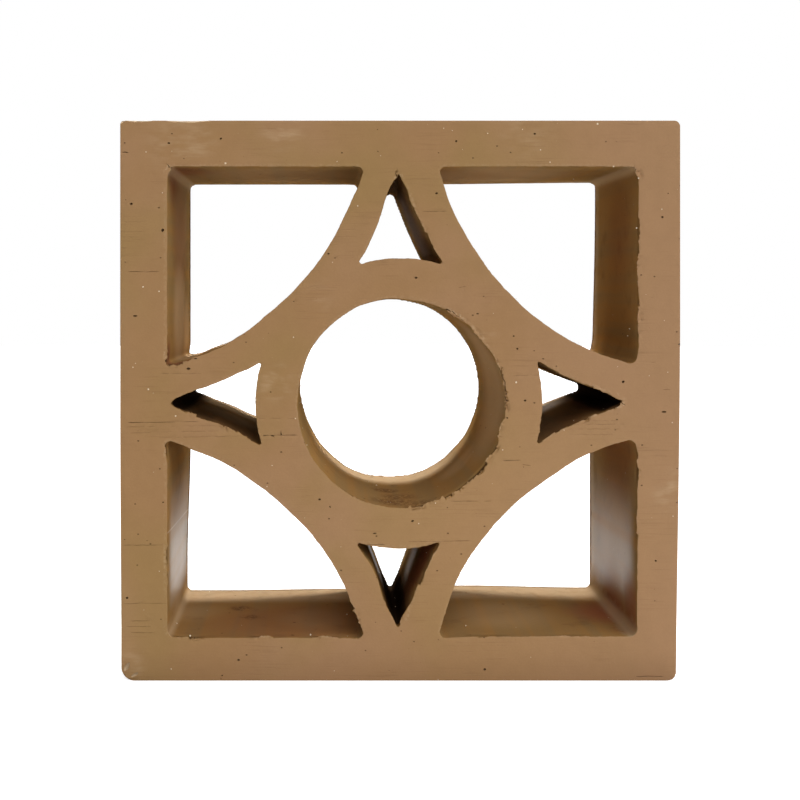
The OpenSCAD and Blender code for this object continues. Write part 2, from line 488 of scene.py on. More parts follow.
def finish_with(piece, kind, **settings):
    """Add one modifier with its settings and apply it."""
    only(piece)
    modifier = piece.modifiers.new(kind.title(), kind)
    for name, value in settings.items():
        setattr(modifier, name, value)
    bpy.ops.object.modifier_apply(modifier=modifier.name)


def remove(piece):
    """Delete a helper."""
    only(piece)
    bpy.ops.object.delete()


def combine(piece, operation, other):
    """Add or take away another solid, which is used up."""
    finish_with(piece, "BOOLEAN", operation=operation, object=other, solver="MANIFOLD")
    remove(other)


# --------------------------------------------------------------------------- the clay's shape


def clean_copy():
    """A merged copy of the CAD block, with flat faces in one piece."""
    copy = copied(bpy.data.objects[NODE], "clean_block")
    copy.parent = None
    for key in list(copy.keys()):
        del copy[key]
    copy.data.materials.clear()
    edit(
        copy,
        (bpy.ops.mesh.remove_doubles, {"threshold": 0.001 * MM}),
        (bpy.ops.mesh.dissolve_limited, {"angle_limit": math.radians(0.5)}),
    )
    return copy


def corner_block(side_x, side_z, radius):
    """Clay that fills one of the long outer corners, down to a smaller rounding."""
    span = 8 * MM
    place = Vector((
        MIDDLE.x + side_x * (HALF_W - span / 2), MIDDLE.y, MIDDLE.z + side_z * (HALF_H - span / 2),
    ))
    bpy.ops.mesh.primitive_cube_add(size=1, location=place)
    piece = active()
    piece.scale = (span, BACK_Y - FRONT_Y, span)
    settle(piece)
    corner_x = MIDDLE.x + side_x * HALF_W
    corner_z = MIDDLE.z + side_z * HALF_H
    in_edit_mode((bpy.ops.mesh.select_all, {"action": "DESELECT"}))
    for edge in piece.data.edges:
        ends = [piece.data.vertices[i].co for i in edge.vertices]
        edge.select = all(abs(e.x - corner_x) < 0.1 * MM and abs(e.z - corner_z) < 0.1 * MM for e in ends)
    in_edit_mode(
        (bpy.ops.mesh.select_mode, {"type": "EDGE"}),
        (bpy.ops.mesh.bevel, {"offset": radius, "segments": 5, "affect": "EDGES"}),
    )
    return piece


def sharp_feet():
    """Wedges of air that open the darts' feet to sharp corners, where the ring meets the ribs."""
    apex, lean, half_angle, length = (49.6, 15.2), (-0.605, 0.7965), math.radians(21.5), 4.4
    reach = length / 1.5  # from the middle of an even triangle to its corners
    half_width = length * math.tan(half_angle) / math.sin(math.radians(60))
    wedges = []
    for upright, out, side in itertools.product((False, True), (-1, 1), (-1, 1)):
        place, way = (out * apex[0], side * apex[1]), (out * lean[0], side * lean[1])
        if upright:
            place, way = place[::-1], way[::-1]
        bpy.ops.mesh.primitive_cylinder_add(vertices=3, radius=1, depth=1)
        wedge = active()
        wedge.scale = (half_width * MM, reach * MM, BACK_Y - FRONT_Y + 2 * MM)
        wedge.rotation_euler = (math.radians(90), math.atan2(way[0], way[1]), 0)
        wedge.location = on_front(place[0] - way[0] * reach, place[1] - way[1] * reach)
        wedge.location.y = MIDDLE.y
        settle(wedge)
        wedges.append(wedge)
    return joined(wedges, "sharp_feet")


def select_arrises(piece, rim_y, inside_only=False):
    """Select the arrises that a face at depth rim_y has, or only those of its openings."""
    only(piece)
    in_edit_mode(
        (bpy.ops.mesh.select_mode, {"type": "EDGE"}),
        (bpy.ops.mesh.select_all, {"action": "DESELECT"}),
        (bpy.ops.mesh.edges_select_sharp, {"sharpness": math.radians(60)}),
    )
    vertices = piece.data.vertices
    reach = 0.93  # of the block's half width and half height: the openings lie within it
    for edge in piece.data.edges:
        keep = edge.select and all(abs(vertices[i].co.y - rim_y) < 0.01 * MM for i in edge.vertices)
        if keep and inside_only:
            place = vertices[edge.vertices[0]].co - MIDDLE
            keep = abs(place.x) < reach * HALF_W and abs(place.z) < reach * HALF_H
        edge.select = keep


def opening_arrises(clean, rim_y, name):
    """A wire of the arrises round the openings, from which distances are measured."""
    wire = copied(clean, name)
    select_arrises(wire, rim_y, inside_only=True)
    in_edit_mode((bpy.ops.mesh.select_all, {"action": "INVERT"}), (bpy.ops.mesh.delete, {"type": "EDGE"}))
    return wire


def tree_with_geometry(name):
    """A geometry node tree with one geometry in and one out, its Pattern, and the geometry."""
    tree = bpy.data.node_groups.new(name, "GeometryNodeTree")
    for way in ("INPUT", "OUTPUT"):
        tree.interface.new_socket("Geometry", in_out=way, socket_type="NodeSocketGeometry")
    p = Pattern(tree)
    return tree, p, p.add("NodeGroupInput").outputs[0]


def emptied(owner):
    """The Pattern of a material's or a world's tree, which starts empty."""
    owner.use_nodes = True
    owner.node_tree.nodes.clear()
    return Pattern(owner.node_tree)


def inside_box(p, position):
    """The position, kept inside the CAD box."""
    return p.vector("MAXIMUM", p.vector("MINIMUM", position, tuple(HIGH)), tuple(LOW))


def in_millimetres(p):
    """The point's place in mm: x and z from the block's middle, y from the front face."""
    position = p.add("GeometryNodeInputPosition").outputs[0]
    from_middle = p.vector("SUBTRACT", position, (MIDDLE.x, FRONT_Y, MIDDLE.z))
    return p.scaled(from_middle, 1 / MM)


def nearest_arris(p, wire):
    """The nearest point on an arris, and how far away it is, in mm."""
    info = p.add("GeometryNodeObjectInfo", {"Object": wire}, transform_space="ORIGINAL")
    near = p.add("GeometryNodeProximity", {0: info.outputs["Geometry"]}, target_element="EDGES")
    return near.outputs["Position"], p.math("DIVIDE", near.outputs["Distance"], MM)


def firing_warp(p, place):
    """How far the die and the firing moved the clay, in mm. The block's outline stays inside its box."""
    x, depth, z = p.split(place)
    square = p.largest(p.absolute(x), p.absolute(z))
    flat = p.join(x, 0, z)

    def near(spot_x, spot_z, outer, inner):
        """How near the clay is to a place on the face: 0 past the outer reach, 1 within the inner one."""
        return p.fade(p.distance(flat, (spot_x, 0, spot_z)), outer, inner)

    radius = p.distance(flat, (0, 0, 0))
    inside = p.fade(square, 99, 85)
    to_back = p.fade(depth, 8, 75)
    at_hole = p.fade(radius, 58, 40)
    narrow = p.math("MINIMUM", p.absolute(x), p.absolute(z))
    at_frame = p.product(p.fade(square, 72, 82), p.fade(narrow, 9, 20))
    at_low_cell = near(62, -62, 60, 36)
    at_low_rib = near(30, -48, 34, 16)
    at_left_rib = near(-27, -57, 26, 10)
    at_right_dart = near(66, 0, 28, 18)
    at_left_point = near(-79, 0, 16, 5)
    at_top_point = p.product(near(0, 80, 12, 4), p.fade(depth, 45, 5))
    at_end_points = p.product(
        p.fade(p.absolute(x), 12, 5), p.fade(square, 58, 74), p.fade(narrow, 14, 10),
        p.fade(p.absolute(z), 50, 58), p.fade(depth, 60, 5),
    )
    at_upper_left = near(-26, 26, 18, 8)
    at_lower_right = p.product(near(26, -26, 18, 8), to_back)
    hole_way = p.math("MULTIPLY_ADD", at_upper_left, -0.45, p.product(at_lower_right, 0.45))
    rim_push = p.product(p.fade(radius, 50, 42), p.total(
        p.product(p.spots(flat, HOLE_FRONT_OUT), p.fade(depth, 40, 10)),
        p.product(p.spots(flat, HOLE_BACK_OUT), to_back),
        p.product(p.spots(flat, HOLE_BACK_IN), to_back, -1),
    ))
    at_left_sill = p.fade(p.distance(p.join(p.product(x, 0.5), 0, z), (-33, 0, 22)), 13, 8.5)
    at_low_foot = p.product(near(-14.5, -51, 9, 2), p.fade(depth, 45, 5))
    right_wall = p.product(p.fade(x, 70, 82), to_back, p.fade(z, 80, -20, 0.4, -1.25))
    left_wall = p.product(p.fade(x, -70, -82), to_back, p.fade(z, -25, -70, 0, -1.2))
    shift_x = p.product(inside, p.total(
        p.product(at_hole, p.fade(depth, 15, 75, 0.45, -0.25)), at_frame,
        p.product(at_low_cell, -0.5), p.product(at_low_rib, -0.6), p.product(at_left_rib, 0.6),
        p.product(at_right_dart, -1.1), p.product(at_left_point, p.fade(depth, 5, 45, -1.2, -0.4)),
        p.product(at_end_points, -0.8), p.product(at_low_foot, -1.1), right_wall, left_wall, hole_way,
    ))
    upper_bed = p.product(p.fade(z, 74, 82), to_back, p.fade(x, 0, 85, 0, 0.75))
    left_bed = p.product(p.fade(z, -76, -82), to_back, p.fade(x, -20, -75, 0, -0.55))
    right_bed = p.product(
        p.fade(z, -76, -82), to_back, p.fade(x, 12, 24), p.fade(x, 80, 30, 0.1, 0.95),
    )
    low_dart = p.product(
        p.fade(p.absolute(x), 17, 10), p.fade(z, -54, -64), p.fade(z, -98, -88),
        p.fade(depth, 5, 75, 0.7, -1.9),
    )
    shift_z = p.product(inside, p.total(
        -1, p.product(at_hole, p.fade(depth, 15, 75, -0.2, 0.3)), p.product(at_frame, 0.45),
        p.product(at_low_cell, 0.5), p.product(at_right_dart, 0.4), upper_bed, left_bed, right_bed,
        low_dart, p.product(at_top_point, 1.5), p.product(hole_way, -1), p.product(at_left_sill, -0.65),
    ))
    # the two outer sides draw in towards the foot
    low_right = p.product(p.fade(x, 84, 100), p.fade(z, 30, -125), -1.6)
    low_left = p.product(p.fade(x, -84, -100), p.fade(z, 0, -110), 0.45)
    # the lower left corner is rubbed round
    corner, reach = -95, 5
    past = p.vector("MINIMUM", p.vector("SUBTRACT", flat, (corner, 0, corner)), (0, 0, 0))
    length = p.largest(p.distance(past, (0, 0, 0)), 0.01)
    over = p.largest(p.math("SUBTRACT", length, reach), 0)
    rubbed = p.scaled(past, p.math("DIVIDE", p.product(over, -1), length))
    shift = p.join(p.total(shift_x, low_right, low_left), 0, shift_z)
    from_hole = p.scaled(p.vector("NORMALIZE", flat), rim_push)
    shift = p.vector("ADD", shift, from_hole)
    for spot_x, spot_z, reach, way_x, way_z in NUDGES:
        share = near(spot_x, spot_z, reach, 0.3 * reach)
        shift = p.vector("ADD", shift, p.scaled((way_x, 0, way_z), share))
    return p.vector("ADD", p.vector("ADD", shift, rubbed), dart_sides(p, x, depth, z))


def dart_sides(p, x, depth, z):
    """Thin the darts' points towards the front, and open two darts wider. All halves fold onto one."""
    wide, high = p.absolute(x), p.absolute(z)
    upright = p.math("GREATER_THAN", high, wide)
    out, side = p.largest(wide, high), p.math("MINIMUM", wide, high)
    sharp = p.largest(p.fade(depth, 45, 8), p.fade(z, -66, -76, 0, 0.65))
    pinch = p.product(
        p.fade(out, 74, 81, 0, 0.62), p.fade(out, 90, 83), p.fade(side, 11, 3), side, sharp,
        p.fade(x, -40, -60, -1, -0.35),
    )
    left_or_low = p.largest(p.fade(p.math("ADD", x, z), 20, -20), p.fade(z, 40, 60, 0, 0.7))
    # the lower dart closes again towards the back
    closing = p.product(p.fade(z, -44, -52), p.fade(depth, 8, 75))
    how_far = p.math("MULTIPLY_ADD", closing, -0.5, p.fade(depth, 0, 75, 0.4, 0.65))
    opened = p.product(
        p.fade(out, 53, 60), p.fade(out, 79, 71), p.fade(side, 24, 14), p.fade(side, 0.2, 2),
        how_far, left_or_low,
    )
    sideways = p.math("ADD", pinch, opened)
    push_x = p.product(p.math("SIGN", x), upright, sideways)
    push_z = p.product(p.math("SIGN", z), p.rest(upright), sideways)
    return p.join(push_x, 0, push_z)


def relief_tree(sizes, front_wire, back_wire):
    """Geometry nodes for the warp, the waviness and the torn arrises."""
    tree, p, source = tree_with_geometry("Fired relief")
    place = in_millimetres(p)
    x, depth, z = p.split(place)
    position = p.add("GeometryNodeInputPosition").outputs[0]
    normal = p.add("GeometryNodeInputNormal").outputs[0]

    arris, away = nearest_arris(p, front_wire)
    _, back_away = nearest_arris(p, back_wire)
    flat_place = p.join(x, 0, z)
    torn = p.math("ADD", p.spots(flat_place, TORN), 0.08)
    tear_mm = sizes.tear / MM

    # the way from the clay towards the opening, level with the face
    across = p.vector("ADD", p.scaled(p.vector("SUBTRACT", arris, position), 3 / MM), normal)
    ax, ay, az = p.split(across)
    outward = p.vector("NORMALIZE", p.join(ax, 0, az))

    # teeth: the arris wanders in the plane of the face, and chips drop below it
    teeth = p.math("SUBTRACT", p.noise(place, 0.42, 3, 0.62), 0.53)
    fine_teeth = p.math("SUBTRACT", p.noise(place, 1.5, 2, 0.6), 0.5)
    flakes = p.add("ShaderNodeTexVoronoi", {"Vector": place, "Scale": 0.25}, voronoi_dimensions="3D")
    step = p.math("SUBTRACT", p.split(flakes.outputs["Color"])[0], 0.4)
    wander = p.total(p.product(teeth, 2.4), p.product(fine_teeth, 1.1), p.product(step, 2.2))
    at_arris = p.fade(away, 2, 0.6)
    shove = p.product(wander, torn, at_arris, tear_mm)
    chips = p.fade(p.noise(p.vector("ADD", place, (31, 7, 0)), 0.62, 3, 0.65), 0.5, 0.64)
    drop = p.product(chips, torn, p.fade(away, 1.7, 0.2), tear_mm * 0.9)

    # a torn flap: a groove that runs beside the arris
    beside = p.math("SUBTRACT", away, p.math("ADD", p.product(fine_teeth, 1.2), 1.15))
    groove = p.math("EXPONENT", p.product(beside, beside, -9))
    flap = p.fade(p.noise(p.vector("ADD", place, (0, 0, 55)), 0.16, 1), 0.5, 0.62)
    groove_drop = p.product(groove, flap, p.fade(torn, 0.3, 0.8), 0.55)

    # behind the torn arris the wall is hollowed
    on_wall = p.fade(p.absolute(p.split(normal)[1]), 0.6, 0.3)
    hollow = p.product(torn, on_wall, p.fade(away, 0.9, 1.9), p.fade(away, 4.6, 3), 0.55)

    # the back arrises are only roughened
    back_rough = p.product(teeth, p.fade(back_away, 1.6, 0), 0.15)

    # long waves and a fine unevenness, always below flat
    wave_mm = sizes.wave / MM
    square = p.largest(p.absolute(x), p.absolute(z))
    to_rim = p.fade(square, 99.5, 90, 0.1, 1)
    wave = p.product(p.noise(place, 0.028, 2, 0.5), -wave_mm, to_rim)
    uneven = p.product(p.noise(place, 0.16, 3, 0.55), -0.09, to_rim)

    dips = p.total(drop, groove_drop, hollow)
    inward = p.total(wave, uneven, p.product(dips, -1), back_rough)
    offset = p.vector("ADD", p.scaled(normal, inward), p.scaled(outward, shove))
    offset = p.vector("ADD", offset, firing_warp(p, place))
    moved = p.vector("ADD", position, p.scaled(offset, MM))
    placed = p.add("GeometryNodeSetPosition", {"Geometry": source, "Position": inside_box(p, moved)})
    p.add("NodeGroupOutput", {0: placed.outputs[0]})
    return tree


def marked(piece, name, value):
    """Give all of the piece's faces a number, which they keep when they are cut into the clay."""
    numbers = piece.data.attributes.new(name, "FLOAT", "FACE")
    numbers.data.foreach_set("value", [value] * len(piece.data.polygons))
    return piece


def rough_lens(x, z, length, width, depth, turn, seed, sink=0):
    """A rough lens at the front face, its middle sink mm into the clay."""
    bpy.ops.mesh.primitive_ico_sphere_add(subdivisions=3, radius=1)
    piece = active()
    in_edit_mode((bpy.ops.transform.vertex_random, {"offset": 0.16, "seed": seed}))
    piece.scale = (length / 2 * MM, depth * MM, width / 2 * MM)
    piece.rotation_euler = (0, -math.radians(turn), 0)
    piece.location = on_front(x, z, sink)
    settle(piece)
    return piece


def groove(points, name):
    """A thin round bar along points (place, radius), which cuts one groove."""
    curve = bpy.data.curves.new(name, "CURVE")
    curve.dimensions = "3D"
    curve.bevel_depth = 1
    curve.bevel_resolution = 1
    curve.use_fill_caps = True
    spline = curve.splines.new("POLY")
    spline.points.add(len(points) - 1)
    for point, (place, radius) in zip(spline.points, points):
        point.co = (*place, 1)
        point.radius = radius
    piece = bpy.data.objects.new(name, curve)
    bpy.context.scene.collection.objects.link(piece)
    only(piece)
    bpy.ops.object.convert(target="MESH")
    bar = active()
    edit(bar, (bpy.ops.mesh.remove_doubles, {"threshold": 0.0005 * MM}))
    return bar


def crack(corners, width, depth, draw):
    """A jagged crack through the corners, which narrows at its far end."""
    points = []
    steps = 4
    for (x0, z0), (x1, z1) in zip(corners, corners[1:]):
        for step in range(steps):
            share = step / steps
            x = x0 + (x1 - x0) * share + draw.uniform(-0.25, 0.25)
            z = z0 + (z1 - z0) * share + draw.uniform(-0.25, 0.25)
            points.append((x, z))
    points.append(corners[-1])
    radii = [width / 2 * (1.15 - number / len(points)) for number in range(len(points))]
    bars = []
    levels = max(2, round(depth / (width * 0.7)))
    for level in range(levels):
        sink = depth * level / levels
        bars.append(groove([(on_front(x, z, sink), r * MM) for (x, z), r in zip(points, radii)], "crack"))
    return marked(joined(bars, "crack"), "dug", 0.9)


def drag(z, start, end, width, darkness, rise, draw):
    """A line that grit under the wire drew along the width, unsteady and broken."""
    count = max(4, round((end - start) / 1.6))
    points = []
    for number in range(count + 1):
        share = number / count
        taper = min(1, 5 * share + 0.4, 5 * (1 - share) + 0.4)
        radius = width / 2 * taper * draw.uniform(0.75, 1.1)
        x, height = start + (end - start) * share, z + rise * share
        place = on_front(x, height + draw.uniform(-0.07, 0.07), draw.uniform(0.02, 0.16))
        points.append((place, radius * MM))
    return marked(groove(points, "drag_line"), "dug", 0.55 * darkness)


def scatter_tree(name, mark, count, smallest, spread, wall_share, flat, seed):
    """Geometry nodes that scatter small grains over the clay, most of them on the wire-cut faces."""
    tree, p, source = tree_with_geometry(name)
    normal = p.add("GeometryNodeInputNormal").outputs[0]
    wire_cut = p.fade(p.absolute(p.split(normal)[1]), 0.5, 0.9, wall_share, 1)
    clusters = p.fade(p.noise(in_millimetres(p), 0.05, 2), 0.35, 0.65, 0.25, 1)
    points = p.add("GeometryNodeDistributePointsOnFaces", {
        "Mesh": source, "Density": p.product(wire_cut, clusters, count / CLAY_AREA), "Seed": seed,
    })
    ball = p.add("GeometryNodeMeshIcoSphere", {"Radius": 1, "Subdivisions": 2})
    draw = p.add("FunctionNodeRandomValue", {"Seed": seed + 1}, data_type="FLOAT").outputs[1]
    stretch = p.add("FunctionNodeRandomValue", {
        "Min": (0.7, 0.7, 0.7), "Max": (flat, 1.1, 1), "Seed": seed + 2,
    }, data_type="FLOAT_VECTOR").outputs[0]
    radius = p.math("MULTIPLY_ADD", p.math("POWER", draw, 3.5), spread * MM, smallest * MM)
    placed = p.add("GeometryNodeInstanceOnPoints", {
        "Points": points.outputs["Points"], "Instance": ball.outputs["Mesh"],
        "Scale": p.scaled(stretch, radius),
    })
    real = p.add("GeometryNodeRealizeInstances", {0: placed.outputs[0]})
    p.add("NodeGroupOutput", {0: p.store(real.outputs[0], mark, 0.9, "FACE")})
    return tree


def scattered(clean, name, *values):
    """Small rough grains scattered over a copy of the clean block."""
    grains = copied(clean, name)
    finish_with(grains, "NODES", node_group=scatter_tree(name, *values))
    return grains


def cut_marks(piece, clean, sizes):
    """Cut pits, chips, cracks and drag lines into the clay, and set pale grains in it."""
    draw = random.Random(sizes.seed)
    chips = [marked(rough_lens(*chip, seed=sizes.seed + n), "grit", 0.3) for n, chip in enumerate(CHIPS)]
    pits = [marked(rough_lens(*pit, seed=sizes.seed + n), "dug", 0.9) for n, pit in enumerate(PITS)]
    cracks = [crack(*line, draw) for line in CRACKS]
    lines = [drag(*line, draw) for line in DRAGS]
    pores = scattered(clean, "Pores", "dug", sizes.pits, 0.12, 0.4, 0.25, 1.9, sizes.seed)
    combine(piece, "DIFFERENCE", joined([pores, *chips, *pits, *cracks, *lines], "air_cutters"))

    grains = [
        marked(rough_lens(x, z, 2 * r, 2 * r, r, 0, sizes.seed + n, sink=r), "grit", 1.0)
        for n, (x, z, r) in enumerate(GRAINS)
    ]
    small = scattered(clean, "Grit", "grit", sizes.grains, 0.11, 0.22, 0.45, 1.2, sizes.seed + 10)
    combine(piece, "UNION", joined([small, *grains], "grit"))


def finish_tree(front_wire):
    """Geometry nodes that keep inside the box, note where the clay is torn, scuffed and stained, and where
    shade and highlights are painted on it.
    """
    tree, p, geometry = tree_with_geometry("Clay notes")
    position = p.add("GeometryNodeInputPosition").outputs[0]
    kept = {"Geometry": geometry, "Position": inside_box(p, position)}
    geometry = p.add("GeometryNodeSetPosition", kept).outputs[0]
    place = in_millimetres(p)
    x, depth, z = p.split(place)
    flat_place = p.join(x, 0, z)
    _, away = nearest_arris(p, front_wire)
    at_front = p.fade(depth, 3, 0.5)
    wide, high = p.absolute(x), p.absolute(z)
    opening = p.fade(p.largest(wide, high), 94, 89)
    behind = p.product(p.fade(depth, 0, 3), opening)
    notes = {
        "torn": p.product(p.spots(flat_place, TORN), p.fade(away, 9, 6)),
        "arris": p.math("MINIMUM", away, 10),
        # painted highlight: a pale streak along the corner fillets of the cells
        "streaked": p.fade(p.distance(p.join(wide, 0, high), (83.4, 0, 83)), 3.4, 1.2),
        # painted highlight: a pale strip along the back edge of the walls on the right, where light from
        # behind falls
        "back": p.product(p.fade(depth, 66, 73), p.fade(x, 40, 82), opening),
        "scuffed": p.product(p.spots(flat_place, SCUFFS), at_front),
        # painted shade in the darts' points, and a thinner painted shade on the darts' walls near the
        # front
        "sooty": p.largest(
            p.product(p.spots(flat_place, DART_POINT_SHADE), p.fade(depth, 0.4, 5), opening),
            p.product(
                p.spots(flat_place, DART_WALL_SHADE), p.fade(depth, 0.2, 1.6), p.fade(depth, 50, 12, 0.1, 1),
                opening,
            ),
        ),
        "stained": p.product(p.spots(place, STAINS), opening),
        "sheen": p.product(p.spots(place, BURNISHED), opening),
        # painted shade, darker and redder, in the cells' corners and on shadowed walls
        "ruddy": p.product(p.spots(place, RUDDY_SHADE), behind),
        # painted light: paler clay where the walls catch too little light, and painted highlights
        "pale": p.product(p.spots(place, PAINTED_LIGHT_PATCHES), behind),
    }
    for name, value in notes.items():
        geometry = p.store(geometry, name, value, "POINT")
    p.add("NodeGroupOutput", {0: geometry})
    return tree


def form_block(sizes):
    """The block's clay, from the CAD solid to the pitted and torn piece."""
    clean = clean_copy()
    front_wire = opening_arrises(clean, FRONT_Y, "front_arrises")
    back_wire = opening_arrises(clean, BACK_Y, "back_arrises")

    piece = copied(clean, "fired_block")
    for side_x, side_z, radius in ((-1, 1, 0.8 * MM), (1, 1, 2 * MM)):
        combine(piece, "UNION", corner_block(side_x, side_z, radius))
    edit(piece, (bpy.ops.mesh.dissolve_limited, {"angle_limit": math.radians(0.5)}))
    select_arrises(piece, BACK_Y)
    in_edit_mode((bpy.ops.mesh.bevel, {"offset": sizes.back_arris, "segments": 3, "affect": "EDGES"}))

    combine(piece, "DIFFERENCE", sharp_feet())
    finish_with(piece, "REMESH", mode="VOXEL", voxel_size=sizes.grain)
    finish_with(piece, "NODES", node_group=relief_tree(sizes, front_wire, back_wire))
    share = sizes.triangles / (2 * len(piece.data.polygons))
    finish_with(piece, "DECIMATE", ratio=share)
    cut_marks(piece, clean, sizes)
    finish_with(piece, "NODES", node_group=finish_tree(front_wire))
    for helper in (clean, front_wire, back_wire):
        remove(helper)
    for extra in [a.name for a in piece.data.attributes if not (a.is_internal or a.is_required)]:
        if extra not in NOTES:
            piece.data.attributes.remove(piece.data.attributes[extra])
    only(piece)
    bpy.ops.object.shade_smooth_by_angle(angle=math.radians(40))
    return piece


# --------------------------------------------------------------------------- the clay's finish


def effect(name, outputs, build):
    """A shader node group that turns a place on the block, in mm, into masks and heights."""
    tree = bpy.data.node_groups.new(name, "ShaderNodeTree")
    tree.interface.new_socket("Place", in_out="INPUT", socket_type="NodeSocketVector")
    for output in outputs:
        tree.interface.new_socket(output, in_out="OUTPUT", socket_type="NodeSocketFloat")
    p = Pattern(tree)
    place = p.add("NodeGroupInput").outputs["Place"]
    p.add("NodeGroupOutput", dict(zip(outputs, build(p, place))))
    return tree


def moved(p, place, x, y, z):
    """The place shifted, so that two noises differ."""
    return p.vector("ADD", place, (x, y, z))


def blotches(p, place):
    """Soft patches that fired pinker or more ochre, and a mottle of a few millimetres."""
    pink = p.fade(p.noise(place, 0.018, 2, 0.5), 0.42, 0.7)
    ochre = p.fade(p.noise(moved(p, place, 70, 0, 40), 0.022, 2, 0.5), 0.42, 0.7)
    mottle = p.noise(moved(p, place, 0, 30, 0), 0.2, 3, 0.55)
    grain = p.noise(place, 1.5, 2, 0.55)
    return pink, ochre, mottle, grain


def scatter(p, place, cell, smallest, largest, share):
    """Dots of random size: one in each cell of that many mm, for a share of the cells."""
    scale = 1 / cell
    dots = p.add("ShaderNodeTexVoronoi", {"Vector": place, "Scale": scale}, voronoi_dimensions="3D")
    draw, size_draw, _ = p.split(dots.outputs["Color"])
    radius = p.fade(p.product(size_draw, size_draw), 0, 1, smallest * scale, largest * scale)
    radius = p.product(radius, p.math("LESS_THAN", draw, share))
    depth = p.math("SUBTRACT", radius, dots.outputs["Distance"])
    return p.fade(depth, 0, 0.06 * scale)


def grit(p, place):
    """Pale grains, dark pores and rust-coloured crumbs in the clay."""
    pale = scatter(p, place, 4.6, 0.08, 0.26, 0.5)
    stretched = p.vector("MULTIPLY", moved(p, place, 9, 5, 3), (0.7, 1, 1))
    pores = scatter(p, stretched, 3, 0.08, 0.46, 0.32)
    crumbs = scatter(p, moved(p, place, 31, 5, 13), 3.4, 0.12, 0.42, 0.35)
    return pale, pores, crumbs


def drag_lines(p, place):
    """Faint lines that grit drew along the wire's way."""
    x, _, z = p.split(place)
    along = p.join(p.product(x, 0.035), 0, z)
    where = p.fade(p.noise(moved(p, place, 0, 0, 90), 0.05, 1), 0.42, 0.66)
    return (p.product(p.fade(p.noise(along, 1.5, 3, 0.6), 0.52, 0.7), where),)


def die_streaks(p, place):
    """Streaks that the die drew along the block's depth, and dark smudges on its skin."""
    x, y, z = p.split(place)
    along = p.join(x, p.product(y, 0.03), z)
    streak = p.noise(along, 0.16, 2, 0.5)
    smudge = p.fade(p.noise(moved(p, place, 12, 8, 3), 0.09, 3, 0.6), 0.55, 0.75)
    return streak, smudge


